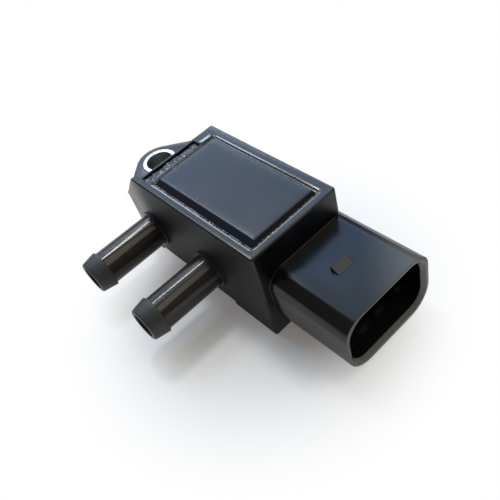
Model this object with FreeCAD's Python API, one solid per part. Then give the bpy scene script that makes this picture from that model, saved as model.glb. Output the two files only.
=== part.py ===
"""Differential pressure sensor for a diesel particle filter.

A black moulded housing carries two hose nipples on its front, a mounting lug with a steel bush on
one end and a three-blade connector shroud on the other. A glued lid closes the chamber on top, which
holds the seals, the sensor base, the circuit board, the pressure cell and the parts around it.

Millimetres. X runs from the lug to the connector, the nipples point along -Y, Z is up. The origin is
on the bush's axis, in the plane that the sensor is bolted to.
"""
import FreeCAD, Part
import math
import os

Vector = FreeCAD.Vector

# Mounting lug and its steel bush
bush_bore_radius = 3.2
bush_wall = 0.95
bush_stand = 0.15
bush_bore_chamfer = 0.1
lug_nose_radius = 6.0
lug_top = 16.85
lug_shoulder_reach = 7.6
lug_edge_chamfer = 0.3

# Housing body
wall_from_bush = 9.9
housing_length = 38.0
housing_width = 22.7
housing_height = 23.85
corner_radius = 0.6
rim_chamfer = 0.25
gusset_thickness = 1.8
front_gusset_top_reach = 1.8
back_gusset_top_reach = 0.0
foot_length = 13.0
underside_lift = 1.2
underside_lift_start = 2.6

# Lid recess, chamber and shelf
rim_lug_side = 3.4
rim_connector_side = 1.6
rim_front = 1.6
rim_back = 2.1
lid_seat_depth = 2.0
lid_ledge = 1.2
recess_corner_radius = 0.8
glue_bay_wall = 0.6
glue_bay_length = 14.9
glue_bay_depth = 1.3
glue_bay_free_gap = 0.6
chamber_depth = 8.2
chamber_corner_radius = 0.5
shelf_length = 3.9

# Hollows in the underside that keep the walls even
underside_hollow_count = 5
underside_rib = 1.5
underside_wall = 2.0
underside_floor = 2.05

# Hose nipples and the passages behind them
nipple_below_chamber = 4.3
nipple_spacing = 20.4
first_nipple_from_wall = 0.0
nipple_radius = 4.0
nipple_bore_radius = 2.8
nipple_length = 18.9
nipple_collar_radius = 4.6
nipple_collar_length = 0.6
barb_radius = 4.45
barb_length = 3.7
barb_tip_radius = 3.85
barb_tip_chamfer = 0.25
passage_depth = 7.85
passage_radius = 1.5
riser_radius = 1.2
cell_from_first_nipple = 10.6

# Connector shroud
shroud_length = 19.2
shroud_width = 23.0
shroud_height = 15.1
shroud_top = 17.05
shroud_side_offset = 2.0
shroud_top_corner_radius = 4.2
shroud_low_corner_radius = 5.6
shroud_wall = 1.5
socket_depth = 16.0
socket_corner_radius = 3.8
mouth_chamfer = 0.8
latch_width = 4.2
latch_length = 2.2
latch_height = 1.2
latch_from_mouth = 10.75
latch_side_offset = -0.8

# Terminals
terminal_names = ("supply", "signal", "ground")
terminal_pitch = 5.0
terminal_width = 2.8
terminal_thickness = 0.8
terminal_reach = 9.5
terminal_tip_bevel = 0.3
terminal_riser_cover = 1.0
terminal_landing = 3.1
landing_pitch = 5.0

# Lid and its adhesive
lid_clearance = 0.25
lid_rise = 0.5
lid_edge_height = 0.8
lid_bevel_inset = 1.25
lid_front_bevel_inset = 1.85
bead_height = 1.7
bay_fill_height = 0.95

# Sensor base, seals and circuit board
base_clearance = 0.3
base_thickness = 2.2
seal_thickness = 1.0
seal_inner_radius = 1.9
seal_width = 1.2
seal_side_clearance = 0.15
cell_port_radius = 0.6
chamber_port_radius = 1.5
board_inset = 0.4
board_thickness = 0.8
board_glue_thickness = 0.2
board_glue_inset = 0.6
board_window_radius = 2.3

# Pressure cell
cell_side = 3.0
pedestal_height = 1.5
die_thickness = 0.5
diaphragm_side = 1.4
diaphragm_thickness = 0.08
dam_inner_radius = 3.2
dam_wall = 0.6
dam_height = 2.1
gel_below_dam = 0.4
die_wire_count = 4
die_wire_width = 0.15
die_wire_thickness = 0.12
die_wire_loop = 0.35
die_wire_foot = 0.3

# Parts on the board and the strips that join it to the terminals
chip_length = 5.0
chip_width = 3.9
chip_height = 1.5
chip_standoff = 0.15
chip_leg_count = 4
chip_leg_pitch = 1.1
chip_leg_width = 0.4
chip_leg_thickness = 0.2
chip_leg_reach = 1.0
chip_from_cell = 9.2
chip_from_board_back = 4.3
capacitor_count = 4
capacitor_length = 2.0
capacitor_width = 1.25
capacitor_height = 0.9
capacitor_edge_radius = 0.11
capacitor_gap = 0.6
capacitor_from_board_end = 0.8
capacitor_from_board_back = 0.8
strip_width = 1.2
strip_thickness = 0.2
strip_foot = 1.0
strip_rise = 1.1
strip_from_landing_tip = 0.6
strip_board_inset = 0.7
strip_mitre = 0.1

# Places that follow from the sizes
half_width = housing_width / 2
wall_x = wall_from_bush
end_x = wall_x + housing_length
mouth_x = end_x + shroud_length
bush_radius = bush_bore_radius + bush_wall
bush_height = lug_top + bush_stand
lug_shoulder_x = wall_x - lug_shoulder_reach

recess_x0 = wall_x + rim_lug_side
recess_x1 = end_x - rim_connector_side
recess_y0 = -half_width + rim_front
recess_y1 = half_width - rim_back
ledge_height = housing_height - lid_seat_depth
chamber_floor_height = ledge_height - chamber_depth

chamber_x0 = recess_x0 + lid_ledge
chamber_x1 = recess_x1 - lid_ledge
chamber_y0 = recess_y0 + lid_ledge
chamber_y1 = recess_y1 - lid_ledge

first_nipple_x = wall_x + first_nipple_from_wall
second_nipple_x = first_nipple_x + nipple_spacing
nipple_height = chamber_floor_height - nipple_below_chamber
port_y = -half_width + passage_depth
cell_x = first_nipple_x + cell_from_first_nipple

shelf_x0 = chamber_x1 - shelf_length
base_top = chamber_floor_height + base_thickness
board_bottom = base_top + board_glue_thickness
board_top = board_bottom + board_thickness
base_x0 = chamber_x0 + base_clearance
base_x1 = shelf_x0 - base_clearance
base_y0 = chamber_y0 + base_clearance
base_y1 = chamber_y1 - base_clearance
board_x0 = base_x0 + board_inset
board_x1 = base_x1 - board_inset
board_y0 = base_y0 + board_inset
board_y1 = base_y1 - board_inset

shroud_centre_z = shroud_top - shroud_height / 2
socket_floor_x = mouth_x - socket_depth
terminal_riser_x = chamber_x1 + terminal_riser_cover
landing_tip_x = chamber_x1 - terminal_landing
blade_ys = [shroud_side_offset + terminal_pitch * (i - 1) for i in range(len(terminal_names))]
landing_ys = [(board_y0 + board_y1) / 2 + landing_pitch * (i - 1) for i in range(len(terminal_names))]

die_top = base_top + pedestal_height + die_thickness
dam_outer_radius = dam_inner_radius + dam_wall

# Room for cutting past a face, and how near two places count as the same
past = 1.0
near = 0.01


def box(x0, x1, y0, y1, z0, z1):
    """A block between two corners."""
    return Part.makeBox(x1 - x0, y1 - y0, z1 - z0, Vector(x0, y0, z0))


def upright_cylinder(x, y, radius, z0, z1):
    """A cylinder along Z."""
    return Part.makeCylinder(radius, z1 - z0, Vector(x, y, z0), Vector(0, 0, 1))


def polygon_prism(points, direction):
    """A flat outline of straight edges, carried along a direction."""
    outline = Part.makePolygon([Vector(*p) for p in points] + [Vector(*points[0])])
    return Part.Face(outline).extrude(Vector(*direction))


def edges_along(shape, direction):
    """The straight edges of a block that run in a direction."""
    chosen = []
    for edge in shape.Edges:
        run = edge.Vertexes[1].Point - edge.Vertexes[0].Point
        if run.cross(direction).Length < near:
            chosen.append(edge)
    return chosen


def rounded_block(x0, x1, y0, y1, z0, z1, radius):
    """A block with its four upright edges rounded."""
    block = box(x0, x1, y0, y1, z0, z1)
    return block.makeFillet(radius, edges_along(block, Vector(0, 0, 1)))


def rounded_section(width, height, top_radius, low_radius, x0, x1):
    """A bar along X on the shroud's axis, its section a rectangle with rounded corners."""
    y0 = shroud_side_offset - width / 2
    z0 = shroud_centre_z - height / 2
    bar = box(x0, x1, y0, y0 + width, z0, z0 + height)
    low_edges = [e for e in edges_along(bar, Vector(1, 0, 0)) if e.Vertexes[0].Z < shroud_centre_z]
    bar = bar.makeFillet(low_radius, low_edges)
    top_edges = [e for e in edges_along(bar, Vector(1, 0, 0)) if abs(e.Vertexes[0].Z - z0 - height) < near]
    return bar.makeFillet(top_radius, top_edges)


def lug():
    """The mounting lug: flat shoulders that narrow along tangents to a round nose about the bush."""
    shoulder = Vector(lug_shoulder_x, half_width, 0)
    distance = shoulder.Length
    angle = math.atan2(shoulder.y, shoulder.x) + math.acos(lug_nose_radius / distance)
    touch = Vector(lug_nose_radius * math.cos(angle), lug_nose_radius * math.sin(angle), bush_stand)
    inner_x = wall_x + past
    start = Vector(inner_x, -half_width, bush_stand)
    front_shoulder = Vector(lug_shoulder_x, -half_width, bush_stand)
    front_touch = Vector(touch.x, -touch.y, bush_stand)
    nose = Vector(-lug_nose_radius, 0, bush_stand)
    back_shoulder = Vector(lug_shoulder_x, half_width, bush_stand)
    finish = Vector(inner_x, half_width, bush_stand)
    edges = [
        Part.makeLine(start, front_shoulder),
        Part.makeLine(front_shoulder, front_touch),
        Part.Arc(front_touch, nose, touch).toShape(),
        Part.makeLine(touch, back_shoulder),
        Part.makeLine(back_shoulder, finish),
        Part.makeLine(finish, start),
    ]
    return Part.Face(Part.Wire(edges)).extrude(Vector(0, 0, lug_top - bush_stand))


def gusset(side, top_reach):
    """The wall that runs down from a corner of the rim to the lug's shoulder, flush with the body."""
    y0 = side * half_width
    profile = [
        (wall_x + past, y0, lug_top - past),
        (lug_shoulder_x, y0, lug_top - past),
        (lug_shoulder_x, y0, lug_top),
        (wall_x - top_reach, y0, housing_height),
        (wall_x + past, y0, housing_height),
    ]
    return polygon_prism(profile, (0, -side * gusset_thickness, 0))


def body_block():
    """The block of the housing, with its connector-side corners rounded."""
    block = box(wall_x, end_x, -half_width, half_width, 0, housing_height)
    corners = [e for e in edges_along(block, Vector(0, 0, 1)) if abs(e.Vertexes[0].X - end_x) < near]
    return block.makeFillet(corner_radius, corners)


def nipple(x):
    """A hose nipple with a collar at its root and one barb at its tip, turned about its own axis."""
    root_y = -half_width
    tip_y = root_y - nipple_length
    shoulder_y = tip_y + barb_length
    profile = [
        (0, root_y + past),
        (nipple_collar_radius, root_y + past),
        (nipple_collar_radius, root_y - nipple_collar_length),
        (nipple_radius, root_y - nipple_collar_length),
        (nipple_radius, shoulder_y),
        (barb_radius, shoulder_y),
        (barb_tip_radius, tip_y + barb_tip_chamfer),
        (barb_tip_radius - barb_tip_chamfer, tip_y),
        (0, tip_y),
    ]
    points = [Vector(x + r, y, nipple_height) for r, y in profile]
    face = Part.Face(Part.makePolygon(points + [points[0]]))
    return face.revolve(Vector(x, 0, nipple_height), Vector(0, 1, 0), 360)


def nipple_bore(x):
    """The bore of a nipple, from its tip to the passage behind the front wall."""
    start = Vector(x, -half_width - nipple_length - past, nipple_height)
    length = past + nipple_length + passage_depth
    return Part.makeCylinder(nipple_bore_radius, length, start, Vector(0, 1, 0))


def passages():
    """Both ports' ways up: across and up to the pressure cell, and straight up to the chamber."""
    start = Vector(first_nipple_x, port_y, nipple_height)
    across = Part.makeCylinder(passage_radius, cell_x - first_nipple_x, start, Vector(1, 0, 0))
    top_z = chamber_floor_height + past
    to_cell = upright_cylinder(cell_x, port_y, riser_radius, nipple_height, top_z)
    to_chamber = upright_cylinder(second_nipple_x, port_y, passage_radius, nipple_height, top_z)
    return [across, to_cell, to_chamber]


def underside_hollows():
    """The row of hollows in the underside. Those beside the ports start behind them."""
    first_x = wall_x + underside_wall
    last_x = chamber_x1 - underside_wall
    width = (last_x - first_x - underside_rib * (underside_hollow_count - 1)) / underside_hollow_count
    back_y = half_width - underside_wall
    top_z = chamber_floor_height - underside_floor
    clear_of_ports_x = second_nipple_x + nipple_bore_radius + underside_wall
    hollows = []
    for i in range(underside_hollow_count):
        x0 = first_x + i * (width + underside_rib)
        front_y = -half_width + underside_wall
        if x0 < clear_of_ports_x:
            front_y = port_y + nipple_bore_radius + underside_rib
        hollows.append(box(x0, x0 + width, front_y, back_y, -past, top_z))
    return hollows


def chamber():
    """The lid's recess, the bay for surplus adhesive and the chamber below, with its shelf left standing."""
    recess = rounded_block(recess_x0, recess_x1, recess_y0, recess_y1, ledge_height, housing_height + past,
                           recess_corner_radius)
    bay = box(wall_x + glue_bay_wall, recess_x0 + past, recess_y0, recess_y0 + glue_bay_length,
              housing_height - glue_bay_depth, housing_height + past)
    room = rounded_block(chamber_x0, chamber_x1, chamber_y0, chamber_y1, chamber_floor_height,
                         ledge_height + past, chamber_corner_radius)
    shelf = box(shelf_x0, chamber_x1 + past, chamber_y0 - past, chamber_y1 + past,
                chamber_floor_height - past, board_top - terminal_thickness)
    return recess.fuse(bay).fuse(room.cut(shelf))


def shroud():
    """The connector shroud: a bar with a rounded section, whose socket is cut afterwards."""
    return rounded_section(shroud_width, shroud_height, shroud_top_corner_radius, shroud_low_corner_radius,
                           end_x - corner_radius - past, mouth_x)


def socket():
    """The hollow of the shroud, with a small bevel at its mouth."""
    width = shroud_width - 2 * shroud_wall
    height = shroud_height - 2 * shroud_wall
    radius = socket_corner_radius
    hollow = rounded_section(width, height, radius, radius, socket_floor_x, mouth_x)
    mouth_edges = [e for e in hollow.Edges if all(abs(v.X - mouth_x) < near for v in e.Vertexes)]
    wide_radius = radius + mouth_chamfer
    outward = rounded_section(width + 2 * mouth_chamfer, height + 2 * mouth_chamfer,
                              wide_radius, wide_radius, mouth_x, mouth_x + past)
    inner_wire = Part.Wire(Part.__sortEdges__(mouth_edges)).translate(Vector(-mouth_chamfer, 0, 0))
    outer_edges = [e for e in outward.Edges if all(abs(v.X - mouth_x) < near for v in e.Vertexes)]
    outer_wire = Part.Wire(Part.__sortEdges__(outer_edges))
    bevel = Part.makeLoft([inner_wire, outer_wire], True, True)
    return hollow.fuse(bevel).fuse(outward)


def latch():
    """The ramp on top of the shroud that the plug's tongue snaps over, steep towards the housing."""
    steep_x = mouth_x - latch_from_mouth
    y0 = shroud_side_offset + latch_side_offset - latch_width / 2
    profile = [
        (steep_x, y0, shroud_top - shroud_wall / 2),
        (steep_x, y0, shroud_top + latch_height),
        (steep_x + latch_length, y0, shroud_top),
        (steep_x + latch_length, y0, shroud_top - shroud_wall / 2),
    ]
    return polygon_prism(profile, (0, latch_width, 0))


def terminal(blade_y, landing_y):
    """A blade in the socket, a leg that leans sideways up inside the wall, and a landing on the shelf."""
    half = terminal_width / 2
    low = shroud_centre_z - terminal_thickness / 2
    high = low + terminal_thickness
    tip_x = socket_floor_x + terminal_reach
    riser_x1 = terminal_riser_x + terminal_thickness
    landing_low = board_top - terminal_thickness
    blade = polygon_prism([
        (terminal_riser_x, blade_y - half, low),
        (tip_x - terminal_tip_bevel, blade_y - half, low),
        (tip_x, blade_y - half, low + terminal_tip_bevel),
        (tip_x, blade_y - half, high - terminal_tip_bevel),
        (tip_x - terminal_tip_bevel, blade_y - half, high),
        (terminal_riser_x, blade_y - half, high),
    ], (0, terminal_width, 0))
    leg = polygon_prism([
        (terminal_riser_x, blade_y - half, high),
        (terminal_riser_x, blade_y + half, high),
        (terminal_riser_x, landing_y + half, landing_low),
        (terminal_riser_x, landing_y - half, landing_low),
    ], (terminal_thickness, 0, 0))
    landing = box(landing_tip_x, riser_x1, landing_y - half, landing_y + half, landing_low, board_top)
    return blade.fuse([leg, landing]).removeSplitter()


def edge_bevel(shape, size, chosen):
    """The shape with the edges that pass the test bevelled."""
    return shape.makeChamfer(size, [e for e in shape.Edges if chosen(e)])


def is_outer_rim_edge(edge):
    """Straight rim edges on the outside of the body, and the round corners between them."""
    at_rim = all(abs(v.Z - housing_height) < near for v in edge.Vertexes)
    on_side = all(abs(abs(v.Y) - half_width) < near for v in edge.Vertexes)
    near_end = all(v.X > end_x - corner_radius - near for v in edge.Vertexes)
    return at_rim and (on_side or near_end)


def is_lug_edge(edge):
    """The lug's upper edge along the flanks and the nose."""
    at_top = all(abs(v.Z - lug_top) < near for v in edge.Vertexes)
    middle = edge.valueAt((edge.FirstParameter + edge.LastParameter) / 2)
    return at_top and middle.x < lug_shoulder_x - near


def housing(terminals):
    """The one moulding: body, lug, gussets, nipples and shroud, with every hollow cut."""
    gussets = [gusset(-1, front_gusset_top_reach), gusset(1, back_gusset_top_reach)]
    solid = body_block().fuse([lug()] + gussets).removeSplitter()
    solid = edge_bevel(solid, rim_chamfer, is_outer_rim_edge)
    solid = edge_bevel(solid, lug_edge_chamfer, is_lug_edge)
    solid = solid.fuse([nipple(first_nipple_x), nipple(second_nipple_x), shroud(), latch()])
    lifted = box(wall_x - underside_lift_start, end_x - foot_length, -half_width - past, half_width + past,
                 -past, underside_lift)
    hollows = [lifted, chamber(), socket(), nipple_bore(first_nipple_x), nipple_bore(second_nipple_x)]
    hollows.append(upright_cylinder(0, 0, bush_radius, -past, lug_top + past))
    solid = solid.cut(hollows + passages() + underside_hollows() + terminals)
    return solid.removeSplitter()


def mounting_bush():
    """The steel sleeve that takes the screw's clamping force, a little proud of the plastic."""
    sleeve = upright_cylinder(0, 0, bush_radius, 0, bush_height)
    sleeve = sleeve.cut(upright_cylinder(0, 0, bush_bore_radius, -past, bush_height + past))
    return edge_bevel(sleeve, bush_bore_chamfer, is_bush_mouth)


def is_bush_mouth(edge):
    """The round edge where the screw goes into the bush's bore."""
    if edge.Curve.TypeId != "Part::GeomCircle":
        return False
    on_bore = abs(edge.Curve.Radius - bush_bore_radius) < near
    return on_bore and edge.Curve.Center.z > bush_height / 2


def lid():
    """The lid: a plate with a low upright edge and a bevel, widest in front, up to its raised panel."""
    x0 = recess_x0 + lid_clearance
    x1 = recess_x1 - lid_clearance
    y0 = recess_y0 + lid_clearance
    y1 = recess_y1 - lid_clearance
    edge_z = ledge_height + lid_edge_height
    panel_z = housing_height + lid_rise
    radius = recess_corner_radius - lid_clearance
    plate = rounded_block(x0, x1, y0, y1, ledge_height, edge_z, radius)
    low = [(x0, y0), (x1, y0), (x1, y1), (x0, y1)]
    panel_x0 = x0 + lid_bevel_inset
    panel_x1 = x1 - lid_bevel_inset
    panel_y0 = y0 + lid_front_bevel_inset
    panel_y1 = y1 - lid_bevel_inset
    high = [(panel_x0, panel_y0), (panel_x1, panel_y0), (panel_x1, panel_y1), (panel_x0, panel_y1)]
    wires = []
    for corners, z in ((low, edge_z), (high, panel_z)):
        points = [Vector(x, y, z) for x, y in corners]
        wires.append(Part.makePolygon(points + [points[0]]))
    raised = Part.makeLoft(wires, True, True)
    trim = rounded_block(x0, x1, y0, y1, edge_z, panel_z + past, radius)
    return plate.fuse(raised.common(trim)).removeSplitter()


def lid_bead(lid_solid):
    """The cured adhesive round the lid, with the surplus that filled the bay on the lug side."""
    ring = rounded_block(recess_x0, recess_x1, recess_y0, recess_y1, ledge_height,
                         ledge_height + bead_height, recess_corner_radius)
    bay_floor = housing_height - glue_bay_depth
    bay_x0 = wall_x + glue_bay_wall + glue_bay_free_gap
    surplus = box(bay_x0, recess_x0 + lid_clearance, recess_y0, recess_y0 + glue_bay_length,
                  bay_floor, bay_floor + bay_fill_height)
    corner = rounded_block(recess_x0, recess_x1, recess_y0, recess_y1, ledge_height, housing_height,
                           recess_corner_radius)
    bay_side = box(bay_x0, recess_x0, recess_y0, recess_y0 + glue_bay_length, bay_floor, housing_height)
    return ring.fuse(surplus).common(corner.fuse(bay_side)).cut(lid_solid).removeSplitter()


def port_seal(x):
    """A flat rubber ring between the chamber's floor and the sensor base."""
    outer = upright_cylinder(x, port_y, seal_inner_radius + seal_width, chamber_floor_height,
                             chamber_floor_height + seal_thickness)
    return outer.cut(upright_cylinder(x, port_y, seal_inner_radius, 0, housing_height))


def sensor_base():
    """The moulded plate that seats on both seals and leads each port up through it."""
    plate = rounded_block(base_x0, base_x1, base_y0, base_y1, chamber_floor_height, base_top,
                          chamber_corner_radius)
    cuts = []
    for x, radius in ((cell_x, cell_port_radius), (second_nipple_x, chamber_port_radius)):
        groove = upright_cylinder(x, port_y, seal_inner_radius + seal_width + seal_side_clearance,
                                  0, chamber_floor_height + seal_thickness)
        island = upright_cylinder(x, port_y, seal_inner_radius - seal_side_clearance,
                                  0, chamber_floor_height + seal_thickness)
        cuts.append(groove.cut(island))
        cuts.append(upright_cylinder(x, port_y, radius, 0, housing_height))
    return plate.cut(cuts)


def board_layer(inset, z0, z1):
    """A plate of the board's outline, with the cell's window and the chamber's port cut through."""
    plate = box(board_x0 + inset, board_x1 - inset, board_y0 + inset, board_y1 - inset, z0, z1)
    window = upright_cylinder(cell_x, port_y, board_window_radius, 0, housing_height)
    port = upright_cylinder(second_nipple_x, port_y, chamber_port_radius, 0, housing_height)
    return plate.cut([window, port])


def glass_pedestal():
    """The glass block under the silicon, with the hole that lets the pressure reach its back."""
    half = cell_side / 2
    block = box(cell_x - half, cell_x + half, port_y - half, port_y + half,
                base_top, base_top + pedestal_height)
    return block.cut(upright_cylinder(cell_x, port_y, cell_port_radius, 0, housing_height))


def pressure_die():
    """The silicon die, etched from below until a thin diaphragm is left."""
    half = cell_side / 2
    bottom = base_top + pedestal_height
    block = box(cell_x - half, cell_x + half, port_y - half, port_y + half, bottom, die_top)
    etch_depth = die_thickness - diaphragm_thickness
    wires = []
    for side, z in ((diaphragm_side + etch_depth, bottom), (diaphragm_side, bottom + etch_depth)):
        x0, x1 = cell_x - side / 2, cell_x + side / 2
        y0, y1 = port_y - side / 2, port_y + side / 2
        points = [Vector(x0, y0, z), Vector(x1, y0, z), Vector(x1, y1, z), Vector(x0, y1, z)]
        wires.append(Part.makePolygon(points + [points[0]]))
    return block.cut(Part.makeLoft(wires, True, True))


def die_wires():
    """The fine wires from the die's edges down to the board inside the dam, as one group."""
    reach_in = cell_side / 2 - die_wire_foot
    out_start = board_window_radius + (dam_inner_radius - board_window_radius - die_wire_foot) / 2
    out_end = out_start + die_wire_foot
    thick = die_wire_thickness
    loop = die_top + die_wire_loop
    rise_x = cell_side / 2 - thick
    profile = [
        (reach_in, die_top), (rise_x, die_top), (rise_x + thick, loop), (out_start - thick, loop),
        (out_start, board_top), (out_end, board_top), (out_end, board_top + thick),
        (out_start + thick, board_top + thick), (out_start, loop + thick),
        (rise_x - thick, loop + thick), (rise_x - thick, die_top + thick), (reach_in, die_top + thick),
    ]
    wires = []
    for turn in range(die_wire_count):
        points = [(cell_x + r, port_y - die_wire_width / 2, z) for r, z in profile]
        wire = polygon_prism(points, (0, die_wire_width, 0))
        wire.rotate(Vector(cell_x, port_y, 0), Vector(0, 0, 1), 360 / die_wire_count * turn)
        wires.append(wire)
    return Part.makeCompound(wires)


def gel_dam():
    """The ring that keeps the gel over the cell."""
    ring = upright_cylinder(cell_x, port_y, dam_outer_radius, board_top, board_top + dam_height)
    return ring.cut(upright_cylinder(cell_x, port_y, dam_inner_radius, 0, housing_height))


def protective_gel(wires):
    """The soft gel that fills the board's window and the dam, round the cell and its wires."""
    gel = upright_cylinder(cell_x, port_y, board_window_radius, base_top, board_top)
    gel = gel.fuse(upright_cylinder(cell_x, port_y, dam_inner_radius, board_top,
                                    board_top + dam_height - gel_below_dam)).removeSplitter()
    half = cell_side / 2
    cell = box(cell_x - half, cell_x + half, port_y - half, port_y + half, base_top, die_top)
    return gel.cut([cell, wires])


def signal_chip():
    """The chip that corrects and amplifies the signal, with its legs on both long sides."""
    cx = cell_x + chip_from_cell
    cy = board_y1 - chip_from_board_back
    bottom = board_top + chip_standoff
    body = box(cx - chip_length / 2, cx + chip_length / 2, cy - chip_width / 2, cy + chip_width / 2,
               bottom, bottom + chip_height)
    legs = []
    leg_z = bottom + chip_height / 2
    foot_y = chip_width / 2 + chip_leg_reach
    bend_y = chip_width / 2 + chip_leg_reach / 2
    thick = chip_leg_thickness
    profile = [
        (chip_width / 2 - thick, leg_z), (bend_y, leg_z), (bend_y, board_top + thick),
        (foot_y, board_top + thick), (foot_y, board_top), (bend_y - thick, board_top),
        (bend_y - thick, leg_z - thick),
        (chip_width / 2 - thick, leg_z - thick),
    ]
    for side in (-1, 1):
        for i in range(chip_leg_count):
            x = cx + chip_leg_pitch * (i - (chip_leg_count - 1) / 2) - chip_leg_width / 2
            legs.append(polygon_prism([(x, cy + side * y, z) for y, z in profile], (chip_leg_width, 0, 0)))
    return body.fuse(legs).removeSplitter()


def capacitor(index):
    """A small block capacitor, one of a row along the board's back edge."""
    x = board_x0 + capacitor_from_board_end + index * (capacitor_length + capacitor_gap)
    y = board_y1 - capacitor_from_board_back - capacitor_width
    block = box(x, x + capacitor_length, y, y + capacitor_width, board_top, board_top + capacitor_height)
    return block.makeFillet(capacitor_edge_radius, edges_along(block, Vector(1, 0, 0)))


def bond_strip(y):
    """The arched strip that joins a terminal's landing to the board."""
    landing_x0 = landing_tip_x + strip_from_landing_tip
    landing_x1 = landing_x0 + strip_foot
    pad_x1 = board_x1 - strip_board_inset
    pad_x0 = pad_x1 - strip_foot
    thick = strip_thickness
    low = board_top
    high = board_top + strip_rise
    profile = [
        (pad_x0, low), (pad_x1, low), (pad_x1 + strip_rise - thick, high - thick),
        (landing_x0 - strip_rise + thick, high - thick), (landing_x0, low), (landing_x1, low),
        (landing_x1, low + thick), (landing_x0 + strip_mitre, low + thick),
        (landing_x0 - strip_rise + thick + strip_mitre, high),
        (pad_x1 + strip_rise - thick - strip_mitre, high),
        (pad_x1 - strip_mitre, low + thick), (pad_x0, low + thick),
    ]
    return polygon_prism([(x, y - strip_width / 2, z) for x, z in profile], (0, strip_width, 0))


def build():
    """Every piece of the sensor by the name of its node."""
    terminals = [terminal(*ys) for ys in zip(blade_ys, landing_ys)]
    pieces = {"housing": housing(terminals), "mounting_bush": mounting_bush()}
    pieces["lid"] = lid()
    pieces["lid_bead"] = lid_bead(pieces["lid"])
    for name, solid, y in zip(terminal_names, terminals, landing_ys):
        pieces["terminal_" + name] = solid
        pieces["bond_strip_" + name] = bond_strip(y)
    pieces["high_port_seal"] = port_seal(cell_x)
    pieces["low_port_seal"] = port_seal(second_nipple_x)
    pieces["sensor_base"] = sensor_base()
    pieces["board_glue"] = board_layer(board_glue_inset, base_top, board_bottom)
    pieces["circuit_board"] = board_layer(0, board_bottom, board_top)
    pieces["glass_pedestal"] = glass_pedestal()
    pieces["pressure_die"] = pressure_die()
    pieces["die_wires"] = die_wires()
    pieces["gel_dam"] = gel_dam()
    pieces["protective_gel"] = protective_gel(pieces["die_wires"])
    pieces["signal_chip"] = signal_chip()
    for i in range(capacitor_count):
        pieces["capacitor_%d" % (i + 1)] = capacitor(i)
    return pieces


def main():
    """Writes one file for each piece."""
    os.makedirs("parts", exist_ok=True)
    for name, shape in build().items():
        shape.exportStep("parts/%s.step" % name)


main()
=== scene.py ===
"""The look of a differential pressure sensor for a diesel particle filter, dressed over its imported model.

Metres. X runs from the lug to the connector, the hose nipples point along -Y and Z is up. The sections
follow the sensor as it is put together: the moulding, the steel bush, the terminals, what lies in the
chamber, the lid, its adhesive, and then the table, the light and the camera.
"""
import math
import bmesh
import bpy
import numpy as np
from mathutils import Matrix, Vector


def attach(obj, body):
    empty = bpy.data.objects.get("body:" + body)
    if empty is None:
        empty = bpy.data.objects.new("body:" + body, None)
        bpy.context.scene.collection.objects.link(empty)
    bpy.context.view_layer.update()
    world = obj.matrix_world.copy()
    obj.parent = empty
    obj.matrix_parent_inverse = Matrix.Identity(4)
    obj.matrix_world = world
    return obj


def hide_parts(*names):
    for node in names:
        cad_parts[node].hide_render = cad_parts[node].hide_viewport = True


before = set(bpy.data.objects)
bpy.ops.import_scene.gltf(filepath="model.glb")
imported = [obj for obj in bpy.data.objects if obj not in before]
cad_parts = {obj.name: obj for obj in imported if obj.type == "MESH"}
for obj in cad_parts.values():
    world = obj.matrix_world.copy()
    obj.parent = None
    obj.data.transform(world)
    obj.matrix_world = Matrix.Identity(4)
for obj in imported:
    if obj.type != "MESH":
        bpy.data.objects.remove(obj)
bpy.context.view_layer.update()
mm = 0.001


# The housing is one black moulding of glass-filled plastic, its arrises rounded as the mould leaves them and
# its faces finely spark-eroded. The nipples' shafts come from polished inserts. Painted reflections of the
# room's cool light tint the shroud, the rim and the lug, and some places carry painted sheen in pale grey.
arris_radius = 0.14 * mm
lip_radius = 0.2 * mm
mouth_radius = 0.08 * mm
mouth_edges_x = 66 * mm
arris_segments = 4
arris_angle = math.radians(24)
flat_angle = math.radians(0.6)
node_weld = 0.002 * mm
recess_x = (13.3 * mm, 46.3 * mm)
recess_y = (-9.75 * mm, 9.25 * mm)
bay_x0 = 10.5 * mm
rim_z = 23.85 * mm


def on_lip(edge):
    """True for an edge of the lid's recess or of its bay at the level of the rim."""
    near = 0.05 * mm
    low = (bay_x0 - near, recess_y[0] - near, rim_z - near)
    high = (recess_x[1] + near, recess_y[1] + near, rim_z + near)
    return all(a < place < b for v in edge.verts for a, place, b in zip(low, v.co, high))


def moulded_arris(edge):
    """The radius of an edge of the moulding: wide round the lid, fine round the socket's mouth."""
    if on_lip(edge):
        return lip_radius
    if all(v.co.x > mouth_edges_x for v in edge.verts):
        return mouth_radius
    return arris_radius


def rounded_copy(node, name, widest, radius_of=None):
    """A welded copy of a model's node whose flat faces are whole and whose sharp edges are rounded.

    Every sharp edge gets the widest radius, or else what radius_of gives for it.
    """
    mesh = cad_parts[node].data.copy()
    mesh.name = name
    cage = bmesh.new()
    cage.from_mesh(mesh)
    bmesh.ops.remove_doubles(cage, verts=cage.verts, dist=node_weld)
    bmesh.ops.dissolve_limit(cage, angle_limit=flat_angle, verts=cage.verts, edges=cage.edges)
    weight = cage.edges.layers.float.new("bevel_weight_edge")
    for edge in cage.edges:
        if len(edge.link_faces) == 2 and edge.calc_face_angle() > arris_angle:
            edge[weight] = radius_of(edge) / widest if radius_of else 1.0
    for face in cage.faces:
        face.smooth = True
    cage.to_mesh(mesh)
    cage.free()
    mesh.materials.clear()
    piece = bpy.data.objects.new(name, mesh)
    bpy.context.scene.collection.objects.link(piece)
    rounding = piece.modifiers.new("arrises", "BEVEL")
    rounding.limit_method = "WEIGHT"
    rounding.width = widest
    rounding.segments = arris_segments
    rounding.use_clamp_overlap = False
    rounding.harden_normals = True
    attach(piece, "root")
    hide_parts(node)
    return piece


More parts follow.
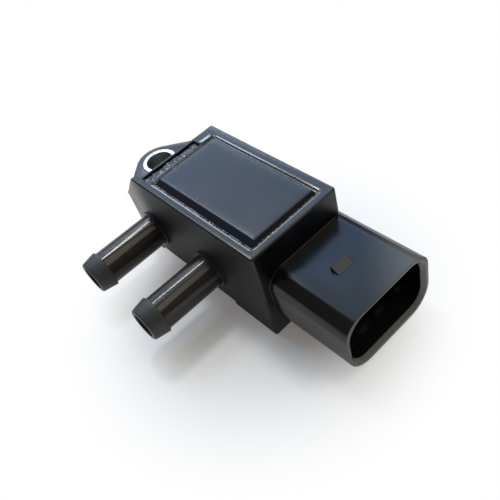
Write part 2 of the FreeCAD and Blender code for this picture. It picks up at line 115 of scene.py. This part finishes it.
class Wire:
    """A socket of a shader node. Arithmetic on wires and numbers adds the Math nodes for it."""

    def __init__(self, finish, socket):
        self.finish = finish
        self.socket = socket

    def maths(self, operation, first, second):
        return self.finish.node("ShaderNodeMath", {"operation": operation}, {0: first, 1: second})

    def __add__(self, other):
        return self.maths("ADD", self, other)

    def __sub__(self, other):
        return self.maths("SUBTRACT", self, other)

    def __rsub__(self, other):
        return self.maths("SUBTRACT", other, self)

    def __mul__(self, other):
        return self.maths("MULTIPLY", self, other)

    __radd__ = __add__
    __rmul__ = __mul__


class Finish:
    """A material that is being made: its nodes come from node(), its surface is one principled shader."""

    def __init__(self, name):
        self.material = bpy.data.materials.new(name)
        self.material.use_nodes = True
        self.tree = self.material.node_tree
        self.tree.nodes.clear()
        self.place = self.node("ShaderNodeTexCoord", output="Object")

    def node(self, kind, settings=None, inputs=None, output=0):
        """A node with its settings made first and its sockets filled with numbers or wires."""
        made = self.tree.nodes.new(kind)
        for key, value in (settings or {}).items():
            setattr(made, key, value)
        for key, value in (inputs or {}).items():
            if isinstance(value, Wire):
                self.tree.links.new(value.socket, made.inputs[key])
            else:
                made.inputs[key].default_value = value
        return Wire(self, made.outputs[output])

    def noise(self, grain, detail, stretch=(1, 1, 1)):
        """Cloudy noise with lumps of the given size in metres, drawn out along the axes by stretch."""
        scale = [1 / (grain * s) for s in stretch]
        place = self.node("ShaderNodeMapping", {}, {"Vector": self.place, "Scale": scale})
        return self.node("ShaderNodeTexNoise", {}, {"Vector": place, "Scale": 1.0, "Detail": detail})

    def ramp(self, value, low, high):
        """0 where the value is at or below low, 1 at or above high, smooth between."""
        return self.node("ShaderNodeMapRange", {"interpolation_type": "SMOOTHSTEP"},
                         {"Value": value, "From Min": low, "From Max": high})

    def along(self, axis):
        """The place along X, Y or Z, in metres."""
        return self.node("ShaderNodeSeparateXYZ", {}, {0: self.place}, output=axis)

    def from_axis(self, x0, y0):
        """The distance from an upright axis: sqrt((x - x0)^2 + (y - y0)^2)."""
        x, y = self.along("X") - x0, self.along("Y") - y0
        return self.node("ShaderNodeMath", {"operation": "SQRT"}, {0: x * x + y * y})

    def larger(self, first, second):
        """The larger of two values."""
        return self.node("ShaderNodeMath", {"operation": "MAXIMUM"}, {0: first, 1: second})

    def blend(self, factor, first, second):
        """A colour between two colours."""
        pair = {0: factor}
        for socket, colour in ((6, first), (7, second)):
            pair[socket] = colour if isinstance(colour, Wire) else (*colour, 1.0)
        return self.node("ShaderNodeMix", {"data_type": "RGBA"}, pair, output=2)

    def bump(self, height, depth, under=None):
        """A bump of the given depth in metres where the height goes from 0 to 1, over another bump."""
        sockets = {"Height": height, "Distance": depth, "Strength": 1.0}
        if under:
            sockets["Normal"] = under
        return self.node("ShaderNodeBump", {}, sockets)

    def surface(self, colour, roughness, normal=None, **sockets):
        """Closes the material with its principled shader. The other sockets are plain numbers."""
        inputs = {"Base Color": colour, "Roughness": roughness}
        if normal:
            inputs["Normal"] = normal
        for key, value in sockets.items():
            inputs[key.replace("_", " ")] = value
        shader = self.node("ShaderNodeBsdfPrincipled", {}, inputs)
        return self.close(shader)

    def close(self, shader):
        """Puts a shader on the material's output."""
        output = self.tree.nodes.new("ShaderNodeOutputMaterial")
        self.tree.links.new(shader.socket, output.inputs["Surface"])
        return self.material


body_black = (0.004, 0.004, 0.0045)
body_flow = (0.008, 0.008, 0.0088)
# Painted reflections of the room's cool light and painted sheen, not colours of the plastic
rim_painted_reflection = (0.03, 0.034, 0.046)
lug_painted_reflection = (0.03, 0.03, 0.042)
shroud_painted_reflection = (0.002, 0.013, 0.036)
painted_sheen_grey = (0.21, 0.21, 0.2)
nipple_brown = (0.032, 0.024, 0.017)
eroded_depth = 0.006 * mm
flow_depth = 0.04 * mm

front_wall_y = -11.35 * mm
nipple_barb_y = -26.55 * mm
lug_top_z = 16.85 * mm
wall_x = 9.9 * mm
shroud_x = (47.9 * mm, 67.1 * mm)

nipple_start = (front_wall_y - 0.9 * mm, front_wall_y - 0.5 * mm)
barb_start = (nipple_barb_y - 0.02 * mm, nipple_barb_y + 0.02 * mm)
rim_start = (rim_z - 0.4 * mm, rim_z - 0.05 * mm)
rim_depth = (-11 * mm, 9 * mm)
lug_start = (lug_top_z - 0.4 * mm, lug_top_z - 0.1 * mm)
lug_end = (lug_top_z + 0.1 * mm, lug_top_z + 0.4 * mm)
lug_reach = (wall_x - 1.5 * mm, wall_x)
shroud_start = (shroud_x[0] + 0.1 * mm, shroud_x[0] + 0.4 * mm)
shroud_top_start = (15.8 * mm, 16.8 * mm)
blue_start = (shroud_x[0] + 1.5 * mm, shroud_x[0] + 3.5 * mm)
blue_end = (shroud_x[0] + 5 * mm, shroud_x[1] - 3 * mm)
blue_side = (-5.4 * mm, -3 * mm)
mouth_start = (shroud_x[1] - 0.9 * mm, shroud_x[1] - 0.7 * mm)
mouth_height = (12 * mm, 15 * mm)
mouth_side = (-9.4 * mm, -5 * mm)
far_corner_start = (62 * mm, 80 * mm)
front_start = (-11.3 * mm, -11 * mm)
left_end_reach = (2.5 * mm, 12 * mm)
dull_start = (5 * mm, 14 * mm)

finish = Finish("moulded_black")
flow = finish.noise(9 * mm, 4.0, (2.2, 1, 1))
speckle = finish.noise(0.5 * mm, 2.0)
grain = finish.noise(0.11 * mm, 2.0)
x, y, z = (finish.along(axis) for axis in "XYZ")

# Masks, 1 on the named place and 0 elsewhere
on_nipple = 1 - finish.ramp(y, *nipple_start)
on_barb = 1 - finish.ramp(y, *barb_start)
on_shaft = on_nipple * (1 - on_barb)
on_rim = finish.ramp(z, *rim_start)
on_lug = finish.ramp(z, *lug_start) * (1 - finish.ramp(z, *lug_end)) * (1 - finish.ramp(x, *lug_reach))
on_shroud = finish.ramp(x, *shroud_start)
on_top = on_shroud * finish.ramp(z, *shroud_top_start)
shroud_reflection_zone = on_top * finish.ramp(x, *blue_start) * (1 - finish.ramp(x, *blue_end))
shroud_reflection_zone = shroud_reflection_zone * finish.ramp(y, *blue_side)
in_mouth = finish.ramp(x, *mouth_start) * (1 - finish.ramp(z, *mouth_height))
in_mouth = in_mouth * finish.ramp(y, *mouth_side)
far_corner = on_top * finish.ramp(x + y, *far_corner_start)
on_front = (1 - finish.ramp(y, *front_start)) * (1 - on_nipple)
left_end = on_front * (1 - finish.ramp(x, *left_end_reach))

# Painted sheen in pale grey, not wear: the most of the single painted patches
# The front wall's left end is painted pale as a painted reflection of the lit table beside it
painted_sheen = left_end
# The socket's mouth and the shroud's far top corner are painted light, and the barbs are painted a little
# paler
for scuff in (in_mouth, far_corner * 0.75, on_barb * 0.26):
    painted_sheen = finish.larger(painted_sheen, scuff)

colour = finish.blend(finish.ramp(flow, 0.35, 0.7), body_black, body_flow)
# Painted reflections: violet on the rim's top, growing towards the back, and on the lug's top; blue on the
# shroud's top away from its wall
for mask, tint in ((on_rim * finish.ramp(y, *rim_depth), rim_painted_reflection), (on_lug * 0.9, lug_painted_reflection),
                   (shroud_reflection_zone * 0.9, shroud_painted_reflection), (painted_sheen * (0.6 + 0.4 * speckle), painted_sheen_grey),
                   (on_shaft * 0.8, nipple_brown)):
    colour = finish.blend(mask, colour, tint)
roughness = 0.24 + 0.08 * finish.ramp(flow, 0.3, 0.75) + 0.04 * speckle
for change, mask in ((-0.14, on_shaft), (0.2, on_barb), (-0.11, on_shroud), (0.2, in_mouth),
                     (0.3, on_front * finish.ramp(x, *dull_start))):
    roughness = roughness + change * mask
eroded = finish.bump(grain, eroded_depth)
moulded_black = finish.surface(colour, roughness, finish.bump(flow, flow_depth, eroded), IOR=1.42)

housing = rounded_copy("housing", "housing_moulding", lip_radius, moulded_arris)
housing.data.materials.append(moulded_black)


# The bush is a turned steel sleeve, pressed into the lug. Its end is faced on the lathe, so it shows
# fine rings round the bore, and its colour is bright there and painted darker down the bore as painted
# shade.
steel_bright = (0.78, 0.79, 0.81)
steel_dull = (0.62, 0.63, 0.66)
steel_painted_shade = (0.46, 0.48, 0.46)
bush_arris = 0.07 * mm
bore_depth = (14.5 * mm, 16.7 * mm)
turning_pitch = 0.12 * mm
turning_depth = 0.004 * mm

finish = Finish("turned_steel")
turns = finish.from_axis(0.0, 0.0) * (2 * math.pi / turning_pitch)
rings = finish.node("ShaderNodeMath", {"operation": "SINE"}, {0: turns})
stain = finish.noise(1.6 * mm, 4.0)
colour = finish.blend(finish.ramp(stain, 0.4, 0.75), steel_bright, steel_dull)
# Painted shade: the colour darkens down the bore
colour = finish.blend(finish.ramp(finish.along("Z"), *bore_depth), steel_painted_shade, colour)
turned_steel = finish.surface(colour, 0.24 + 0.16 * stain, finish.bump(rings, turning_depth), Metallic=1.0)
bush = rounded_copy("mounting_bush", "turned_bush", bush_arris)
bush.data.materials.append(turned_steel)


# The three terminals are stamped from copper alloy and tinned. The rolled strip keeps faint lines along
# its length, and the tin is slightly cloudy.
tin_bright = (0.74, 0.72, 0.68)
tin_cloudy = (0.55, 0.53, 0.5)
blade_arris = 0.06 * mm
rolled_depth = 0.003 * mm
terminals = ("supply", "signal", "ground")

finish = Finish("tinned_blade")
rolled = finish.noise(0.12 * mm, 2.0, (30, 1, 1))
cloud = finish.noise(1.1 * mm, 4.0)
colour = finish.blend(finish.ramp(cloud, 0.4, 0.7), tin_bright, tin_cloudy)
tinned_blade = finish.surface(colour, 0.26 + 0.2 * cloud, finish.bump(rolled, rolled_depth), Metallic=1.0)
for terminal in terminals:
    blade = rounded_copy("terminal_" + terminal, "tinned_blade_" + terminal, blade_arris)
    blade.data.materials.append(tinned_blade)


# What lies in the chamber under the lid keeps the model's own shapes: rubber seals, the moulded base,
# the board with its chip and capacitors, and the pressure cell under its gel. Each gets its own finish.
def plain_finish(name, one, other, grain, roughness, depth, **sockets):
    """A finish that wanders between two colours, with a fine relief of the same grain."""
    finish = Finish(name)
    cloud = finish.noise(grain * 6, 4.0)
    relief = finish.noise(grain, 2.0)
    colour = finish.blend(finish.ramp(cloud, 0.35, 0.7), one, other)
    return finish.surface(colour, roughness + 0.12 * cloud, finish.bump(relief, depth), **sockets)


chamber_finishes = {
    "seal_rubber": plain_finish(
        "seal_rubber", one=(0.022, 0.022, 0.022), other=(0.035, 0.034, 0.033),
        grain=0.1 * mm, roughness=0.6, depth=0.006 * mm),
    "base_plastic": plain_finish(
        "base_plastic", one=(0.03, 0.03, 0.032), other=(0.05, 0.05, 0.052),
        grain=0.14 * mm, roughness=0.5, depth=0.006 * mm),
    "board_glue": plain_finish(
        "board_glue", one=(0.05, 0.05, 0.055), other=(0.09, 0.09, 0.095),
        grain=0.3 * mm, roughness=0.25, depth=0.02 * mm),
    "board_laminate": plain_finish(
        "board_laminate", one=(0.02, 0.13, 0.06), other=(0.03, 0.18, 0.085),
        grain=0.2 * mm, roughness=0.3, depth=0.004 * mm, Coat_Weight=0.4),
    "cell_glass": plain_finish(
        "cell_glass", one=(0.8, 0.84, 0.82), other=(0.74, 0.8, 0.78),
        grain=0.3 * mm, roughness=0.12, depth=0.001 * mm),
    "silicon": plain_finish(
        "silicon", one=(0.2, 0.22, 0.26), other=(0.26, 0.27, 0.31),
        grain=0.4 * mm, roughness=0.1, depth=0.001 * mm, Metallic=0.6),
    "wire_metal": plain_finish(
        "wire_metal", one=(0.84, 0.84, 0.85), other=(0.7, 0.7, 0.72),
        grain=0.05 * mm, roughness=0.28, depth=0.002 * mm, Metallic=1.0),
    "gel": plain_finish(
        "gel", one=(0.82, 0.84, 0.8), other=(0.76, 0.79, 0.75),
        grain=0.5 * mm, roughness=0.06, depth=0.004 * mm, Alpha=0.35),
    "chip_plastic": plain_finish(
        "chip_plastic", one=(0.018, 0.018, 0.02), other=(0.03, 0.03, 0.032),
        grain=0.08 * mm, roughness=0.45, depth=0.005 * mm),
    "capacitor_ceramic": plain_finish(
        "capacitor_ceramic", one=(0.34, 0.22, 0.12), other=(0.42, 0.29, 0.17),
        grain=0.1 * mm, roughness=0.4, depth=0.003 * mm),
}
finish_of_node = {
    "high_port_seal": "seal_rubber", "low_port_seal": "seal_rubber", "sensor_base": "base_plastic",
    "board_glue": "board_glue", "circuit_board": "board_laminate", "glass_pedestal": "cell_glass",
    "pressure_die": "silicon", "die_wires": "wire_metal", "gel_dam": "base_plastic",
    "protective_gel": "gel", "signal_chip": "chip_plastic",
}
for terminal in terminals:
    finish_of_node["bond_strip_" + terminal] = "wire_metal"
for number in range(1, 5):
    finish_of_node["capacitor_%d" % number] = "capacitor_ceramic"
for node, finish_name in finish_of_node.items():
    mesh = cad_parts[node].data
    mesh.materials.clear()
    mesh.materials.append(chamber_finishes[finish_name])


# The lid is a smooth black moulding: a low upright edge, a wide bevel and a raised panel with soft
# arrises. The panel is a little hollow in the middle, where the plastic shrank, so it mirrors unevenly.
recess_corner = 0.8 * mm
ledge_z = 21.85 * mm
lid_gap = 0.25 * mm
lid_edge_top = 22.65 * mm
lid_panel_z = 24.35 * mm
lid_bevel_inset = 1.25 * mm
lid_front_extra = 0.6 * mm
lid_foot_inset = 0.6 * mm
lid_panel_margin = 1.6 * mm
lid_radii = (0.1 * mm, 0.25 * mm, 0.25 * mm)
lid_step = 1.0 * mm
panel_rings = 24
panel_hollow = 0.05 * mm
least_corner = 0.04 * mm
corner_points = 9
curve_points = 4
surface_weld = 0.0005 * mm


def rounded_outline(inset, step, front=0.0):
    """A rectangle inside the recess, its corners quarter circles.

    Points run round it at about one step apart: each side is a row from arc to arc, and each corner turns
    by x = cx + r cos t, y = cy + r sin t with t over a quarter turn. Equal counts at every inset. The front
    side can lie further in.
    """
    x0, x1 = recess_x
    y0, y1 = recess_y[0] + front, recess_y[1]
    radius = max(recess_corner - inset, least_corner)
    counts = [int((x1 - x0) / step), int((y1 - recess_y[0]) / step)] * 2
    margin = inset + radius
    starts = [(x1 - margin, y0 + margin, -90), (x1 - margin, y1 - margin, 0),
              (x0 + margin, y1 - margin, 90), (x0 + margin, y0 + margin, 180)]
    points = []
    for i, (cx, cy, angle) in enumerate(starts):
        turn = np.radians(angle + np.linspace(0, 90, corner_points))
        arc = np.stack([cx + radius * np.cos(turn), cy + radius * np.sin(turn)], 1)
        nx, ny, next_angle = starts[(i + 1) % 4]
        turn = math.radians(next_angle)
        end = np.array([nx + radius * math.cos(turn), ny + radius * math.sin(turn)])
        share = np.linspace(0, 1, counts[(i + 1) % 4], endpoint=False)[1:, None]
        points += [arc, arc[-1] + share * (end - arc[-1])]
    return np.concatenate(points)


def softened(corners, radii):
    """A profile through corners, each eased by a curve that leaves and joins its sides at the radius.

    The curve is (1-t)^2 a + 2t(1-t) p + t^2 b, where a and b lie one radius before and after the corner p.
    """
    path = [np.array(corners[0], float)]
    for before, corner, after, radius in zip(corners, corners[1:], corners[2:], radii):
        before, corner, after = (np.array(p, float) for p in (before, corner, after))
        a = corner + (before - corner) * min(radius / np.linalg.norm(before - corner), 0.5)
        b = corner + (after - corner) * min(radius / np.linalg.norm(after - corner), 0.5)
        for t in np.linspace(0, 1, curve_points):
            path.append((1 - t) ** 2 * a + 2 * t * (1 - t) * corner + t * t * b)
    path.append(np.array(corners[-1], float))
    return path


def closed_surface(name, grid):
    """A mesh of a grid of points (rows, round, xyz), closed round each row, its end rows drawn shut."""
    rows, count = grid.shape[:2]
    here = np.arange(count)
    there = np.roll(here, -1)
    start = (np.arange(rows - 1) * count)[:, None]
    quads = np.stack([start + here, start + there, start + count + there, start + count + here], 2)
    mesh = bpy.data.meshes.new(name)
    mesh.from_pydata(grid.reshape(-1, 3).tolist(), [], quads.reshape(-1, 4).tolist())
    shell = bmesh.new()
    shell.from_mesh(mesh)
    bmesh.ops.remove_doubles(shell, verts=shell.verts, dist=surface_weld)
    bmesh.ops.recalc_face_normals(shell, faces=shell.faces)
    for face in shell.faces:
        face.smooth = True
    shell.to_mesh(mesh)
    shell.free()
    piece = bpy.data.objects.new(name, mesh)
    bpy.context.scene.collection.objects.link(piece)
    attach(piece, "root")
    return piece


lid_profile = softened(
    [(lid_foot_inset, ledge_z), (lid_gap, ledge_z), (lid_gap, lid_edge_top),
     (lid_gap + lid_bevel_inset, lid_panel_z), (lid_gap + lid_bevel_inset + lid_panel_margin, lid_panel_z)],
    lid_radii)
sides = []
for inset, z in lid_profile:
    climbed = np.clip((z - lid_edge_top) / (lid_panel_z - lid_edge_top), 0, 1)
    ring = rounded_outline(inset, lid_step, lid_front_extra * climbed)
    sides.append(np.column_stack([ring, np.full(len(ring), z)]))
centre = sides[-1].mean(0)
foot = sides[0]
middle = np.array([centre[0], centre[1], ledge_z])
bottom = [middle + (foot - middle) * share for share in (0.0, 0.5)]
panel = []
for share in np.linspace(1, 0, panel_rings + 1)[1:]:
    ring = centre + (sides[-1] - centre) * share
    ring[:, 2] = lid_panel_z - panel_hollow * (1 - share ** 2) ** 2
    panel.append(ring)
lid = closed_surface("lid_panel", np.array(bottom + sides + panel))

lid_slate = (0.004, 0.009, 0.021)
lid_deep = (0.008, 0.008, 0.015)
haze_depth = 0.06 * mm
dust_depth = 0.0002 * mm
finish = Finish("lid_gloss")
haze = finish.noise(14 * mm, 2.0)
dust = finish.noise(0.25 * mm, 2.0)
colour = finish.blend(finish.ramp(haze, 0.35, 0.65), lid_slate, lid_deep)
lid_gloss = finish.surface(colour, 0.2 + 0.1 * haze + 0.03 * dust,
                           finish.bump(haze, haze_depth, finish.bump(dust, dust_depth)), IOR=1.47)
lid.data.materials.append(lid_gloss)
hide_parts("lid")


# The lid is bonded into the recess. The adhesive is squeezed up in the groove round the lid as an uneven
# row of beads, its surplus fills the bay beside the lug, and a thin smear of it lies on the rim. It cured
# dark and shiny.
adhesive_dark = (0.016, 0.014, 0.014)
adhesive_pale = (0.05, 0.046, 0.044)
ripple_depth = 0.008 * mm
bead_top = 23.5 * mm
bead_step = 0.12 * mm
bead_lumps = 330
bead_tallest = 0.42 * mm
bead_lump_shares = (0.0007, 0.0022)
bead_lump_least = 0.15
bead_calm_y = recess_y[1] - 0.5 * mm
bead_calm_run = 1.5 * mm
bead_calm_least = 0.05
meniscus_start = 0.14 * mm
meniscus_fall = 0.268
meniscus_insets = (-0.12 * mm, -0.08 * mm, 0.05 * mm, 0.18 * mm, 0.24 * mm)
chance = np.random.default_rng(11)

# The groove's section: inset from the recess's wall, height, and share of the lumps there
groove_section = [(0.0, ledge_z, 0.0), (0.0, rim_z - 0.4 * mm, 0.0)]
for inset in meniscus_insets:
    groove_section.append((inset, rim_z - (inset + meniscus_start) * meniscus_fall, 0.0))
groove_section += [
    (0.32 * mm, bead_top, 0.2),
    (0.42 * mm, bead_top, 0.8),
    (0.55 * mm, bead_top, 1.0),
    (0.68 * mm, bead_top, 0.8),
    (0.8 * mm, bead_top - 0.06 * mm, 0.3),
    (0.92 * mm, bead_top - 0.1 * mm, 0.1),
    (0.6 * mm, bead_top - 0.4 * mm, 0.0),
    (0.25 * mm, ledge_z, 0.0),
]


def groove_surface():
    """The bead in the groove: z = section height + share * the tallest lump near the point.

    Each lump is a half round hill h * max(0, 1 - (d / w)^2) at its own place along the groove, with d and
    w as shares of its length. The lumps are calmer towards the back wall.
    """
    outer = rounded_outline(0.0, bead_step)
    length = np.arange(len(outer)) / len(outer)
    at = chance.random(bead_lumps)
    width = chance.uniform(*bead_lump_shares, bead_lumps)
    height = chance.uniform(bead_lump_least, 1.0, bead_lumps) ** 2 * bead_tallest
    gap = np.abs(length[:, None] - at)
    gap = np.minimum(gap, 1 - gap)
    calm = np.clip((bead_calm_y - outer[:, 1]) / bead_calm_run, bead_calm_least, 1)
    lump = calm * (height * np.maximum(0, 1 - (gap / width) ** 2)).max(1)
    rows = []
    for inset, z, share in groove_section:
        ring = rounded_outline(inset, bead_step)
        rows.append(np.column_stack([ring, z + lump * share]))
    rows.append(rows[0])
    return np.array(rows)


bead = closed_surface("adhesive_bead", groove_surface())

finish = Finish("cured_adhesive")
ripple = finish.noise(0.35 * mm, 3.0)
colour = finish.blend(finish.ramp(ripple, 0.45, 0.7), adhesive_dark, adhesive_pale)
cured_adhesive = finish.surface(colour, 0.1 + 0.08 * ripple, finish.bump(ripple, ripple_depth), IOR=1.5)
bead.data.materials.append(cured_adhesive)
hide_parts("lid_bead")


bay_x = (10.75 * mm, 13.62 * mm)
bay_y = (-9.7 * mm, 5.1 * mm)
bay_floor = 22.55 * mm
bay_level = 23.3 * mm
bay_rows = 230
bay_columns = 40
hills = 320
hill_radius = 1.1 * mm
hill_height = 0.3 * mm
hill_steepness = 0.4
wander = ((0.06 * mm, 900, 0.0), (0.04 * mm, 2300, 1.0))


def blanket(top, floor):
    """A closed grid from the points of a top (rows, across, xyz) and the same points put on a floor.

    Its first and last rows are drawn shut at their middles.
    """
    low = top.copy()
    low[..., 2] = floor
    rounds = np.concatenate([top, low[:, ::-1]], 1)
    ends = [np.repeat(r.mean(0)[None], rounds.shape[1], 0) for r in (rounds[0], rounds[-1])]
    return np.concatenate([ends[0][None], rounds, ends[1][None]])


def bay_surface():
    """The surplus in the bay: z = level + the tallest hill near the point, over the bay's floor.

    Each hill is round, h * max(0, 1 - (d / w)^2). The side towards the lug wanders in x by two sine waves
    of y, each with its reach, radians per metre and phase.
    """
    along = np.linspace(*bay_y, bay_rows)
    across = np.linspace(*bay_x, bay_columns)
    gy, gx = np.meshgrid(along, across, indexing="ij")
    hx = chance.uniform(*bay_x, hills)
    hy = chance.uniform(*bay_y, hills)
    hw = chance.uniform(0.35, 1.0, hills) ** 3 * hill_radius
    hh = np.minimum(chance.uniform(0.1, 1.0, hills) ** 3 * hill_height, hill_steepness * hw)
    far = ((gx[..., None] - hx) ** 2 + (gy[..., None] - hy) ** 2) / hw ** 2
    top = bay_level + (hh * np.maximum(0, 1 - far)).max(2)
    gx[:, 0] += sum(reach * np.sin(along * pace + phase) for reach, pace, phase in wander)
    return blanket(np.stack([gx, gy, top], 2), bay_floor)


surplus = closed_surface("adhesive_surplus", bay_surface())
surplus.data.materials.append(cured_adhesive)


smear_x = (11.9 * mm, 13.42 * mm)
smear_y = (5.3 * mm, 8.9 * mm)
smear_film = 0.01 * mm
smear_slope = 0.16
smear_sunk = 0.01 * mm
smear_rows = 37
smear_columns = 15


def smear_surface():
    """A smear of adhesive on the rim: a wedge z = rim + (film + slope * u) * (1 - s^8) * (1 - t^8).

    Here u is the way across it from its outer side, and s and t are the shares of its half width and half
    length, so that it thins out at its border.
    """
    along = np.linspace(*smear_y, smear_rows)
    across = np.linspace(*smear_x, smear_columns)
    gy, gx = np.meshgrid(along, across, indexing="ij")
    u = gx - smear_x[0]
    s = (gx - np.mean(smear_x)) / (np.ptp(smear_x) / 2)
    t = (gy - np.mean(smear_y)) / (np.ptp(smear_y) / 2)
    height = (smear_film + smear_slope * u) * (1 - s ** 8) * (1 - t ** 8)
    return blanket(np.stack([gx, gy, rim_z + height], 2), rim_z - smear_sunk)


smear = closed_surface("adhesive_smear", smear_surface())
smear.data.materials.append(cured_adhesive)


# The table is a pale sheet that the sensor stands on. It keeps the sensor's shadow, and away from it turns
# plain white to the camera, to mirrors and to clear plastic. A faint warm glow lifts the shadow.
table_half = 1.2
table_centre = (30 * mm, 0, -0.02 * mm)
shadow_centre = (36 * mm, -6 * mm)
shadow_reach = (16 * mm, 47 * mm)
paper_white = (0.86, 0.86, 0.86, 1.0)
glow_warm = (1.0, 0.93, 0.86, 1.0)
glow_strength = 0.12

bpy.ops.mesh.primitive_plane_add(size=2 * table_half, location=(0, 0, 0))
table = bpy.context.object
table.name = "table"
table.data.transform(Matrix.Translation(table_centre))
finish = Finish("white_table")
away = finish.ramp(finish.from_axis(*shadow_centre), *shadow_reach)
path = finish.tree.nodes.new("ShaderNodeLightPath")
seen = Wire(finish, path.outputs["Is Camera Ray"])
for kind in ("Is Glossy Ray", "Is Transmission Ray"):
    seen = finish.larger(seen, Wire(finish, path.outputs[kind]))
paper = finish.node("ShaderNodeBsdfDiffuse", {}, {"Color": paper_white})
glow = finish.node("ShaderNodeEmission", {}, {"Color": glow_warm, "Strength": seen * glow_strength})
lit = finish.node("ShaderNodeAddShader", {}, {0: paper, 1: glow})
white = finish.node("ShaderNodeEmission", {}, {"Color": (1.0, 1.0, 1.0, 1.0), "Strength": 1.0})
sheet = finish.node("ShaderNodeMixShader", {}, {0: away * seen, 1: lit, 2: white})
table.data.materials.append(finish.close(sheet))


# The room is an even, weak and slightly warm dome. A broad cool softbox behind the lug is the main light
# and a warmer one hangs above. Two strips and a small near lamp, all behind the lug, draw highlights.
dome_colour = (1.0, 0.98, 0.95, 1.0)
dome_strength = 0.17
lamp_aim = Vector((30 * mm, 0, 15 * mm))

room = bpy.data.worlds.new("room")
room.use_nodes = True
bpy.context.scene.world = room
tree = room.node_tree
tree.nodes.clear()
dome = tree.nodes.new("ShaderNodeBackground")
dome.inputs["Color"].default_value = dome_colour
dome.inputs["Strength"].default_value = dome_strength
output = tree.nodes.new("ShaderNodeOutputWorld")
tree.links.new(dome.outputs[0], output.inputs["Surface"])


def softbox(name, direction, distance, width, height, radiance, colour, along=(1.0, 0.0, 0.0)):
    """A lamp that faces the sensor, its width as near as can be along a direction.

    Its power is radiance * pi * area.
    """
    data = bpy.data.lights.new(name, "AREA")
    data.shape = "RECTANGLE"
    data.size = width
    data.size_y = height
    data.energy = radiance * math.pi * width * height
    data.color = colour
    lamp = bpy.data.objects.new(name, data)
    out = Vector(direction).normalized()
    side = (Vector(along) - out * out.dot(along)).normalized()
    lamp.location = lamp_aim + out * distance
    lamp.rotation_mode = "QUATERNION"
    lamp.rotation_quaternion = Matrix((side, out.cross(side), out)).transposed().to_quaternion()
    bpy.context.scene.collection.objects.link(lamp)


softbox("window", (-0.607, 0.33, 0.723), 0.7, 0.9, 0.9, 1.75, (0.52, 0.72, 1.0))
softbox("ceiling", (0.35, 0.35, 0.87), 0.6, 0.35, 0.35, 1.8, (1.0, 0.97, 0.8))
softbox("low_strip", (-0.765, 0.5, 0.4), 0.6, 0.46, 0.05, 8.0, (0.8, 0.88, 1.0), (0.28, 0.317, 0.139))
softbox("back_strip", (-0.697, 0.075, 0.713), 0.6, 0.13, 0.07, 13.0, (0.7, 0.82, 1.0), (0.713, 0.0, 0.697))
softbox("near_lamp", (-0.435, 0.11, 0.9), 0.2, 0.03, 0.03, 34.0, (1.0, 0.93, 0.84))


# The camera stands where the photograph was taken, looking down on the connector's corner.
eye = Vector((111.66, -45.3, 102.3)) * mm
right = Vector((0.66075, 0.71470, -0.22939))
down = Vector((0.44101, -0.61693, -0.65184))
ahead = Vector((-0.60739, 0.32954, -0.72283))
photo_pixels = 500
focal_pixels = 598.8
film_width = 36.0

data = bpy.data.cameras.new("camera")
data.sensor_width = film_width
data.lens = focal_pixels / photo_pixels * film_width
data.clip_start = 0.005
data.clip_end = 10.0
camera = bpy.data.objects.new("camera", data)
turn = Matrix((right, -down, -ahead)).transposed()
camera.rotation_mode = "QUATERNION"
camera.rotation_quaternion = turn.to_quaternion()
camera.location = eye
bpy.context.scene.collection.objects.link(camera)
bpy.context.scene.camera = camera
bpy.context.scene.view_settings.view_transform = "Standard"
